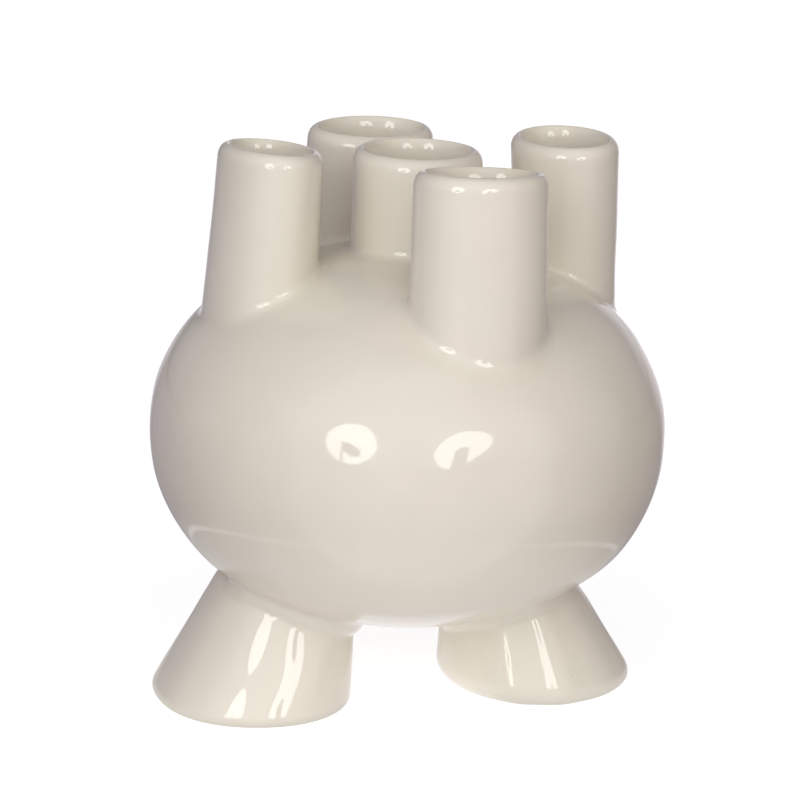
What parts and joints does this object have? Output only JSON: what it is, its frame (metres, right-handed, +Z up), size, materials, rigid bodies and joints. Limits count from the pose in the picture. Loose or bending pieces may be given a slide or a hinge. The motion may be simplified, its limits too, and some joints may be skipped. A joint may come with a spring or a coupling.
{
  "type": "tulip vase",
  "caption": "Round flattened hollow vase body with a cross of upright oval spouts around a centre spout, standing on leaning hollow conical feet, all in cream glaze.",
  "frame": {"origin": "on the standing plane, under the axis of the round body", "axes": "+Z up, +X from the left foot to the right foot, -Y the front"},
  "size_m": [0.1796, 0.18, 0.1989],
  "materials": {
    "glaze": "warm cream glaze, glossy, on hand-built earthenware"
  },
  "bodies": {
    "root": {"body_shell": "glaze", "spout_front": "glaze", "spout_back": "glaze", "spout_left": "glaze", "spout_right": "glaze", "spout_centre": "glaze", "foot_left": "glaze", "foot_right": "glaze"}
  },
  "joints": []
}
